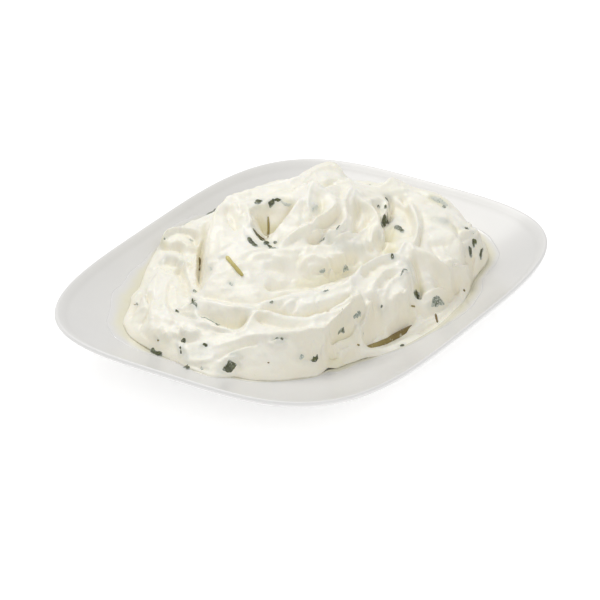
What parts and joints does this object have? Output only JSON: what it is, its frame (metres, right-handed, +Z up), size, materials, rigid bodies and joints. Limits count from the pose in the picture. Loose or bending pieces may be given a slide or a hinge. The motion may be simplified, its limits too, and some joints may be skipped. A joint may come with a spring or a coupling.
{
  "type": "purslane yogurt dip on a plate",
  "caption": "Thick white yogurt dip with chopped purslane, swirled into a heap of soft folds on a shallow white rounded-rectangle plate.",
  "frame": {"origin": "middle of the plate's foot ring, on the surface that the plate stands on", "axes": "+Z up, +X along the plate's long side; the side shown in the picture faces azimuth -58 degrees"},
  "size_m": [0.22, 0.1728, 0.0529],
  "materials": {
    "white_glaze": "gloss",
    "yogurt": "satin",
    "stem_skin": "satin"
  },
  "bodies": {
    "root": {"plate": "white_glaze", "dip": "yogurt", "purslane_stem": "stem_skin"}
  },
  "joints": []
}
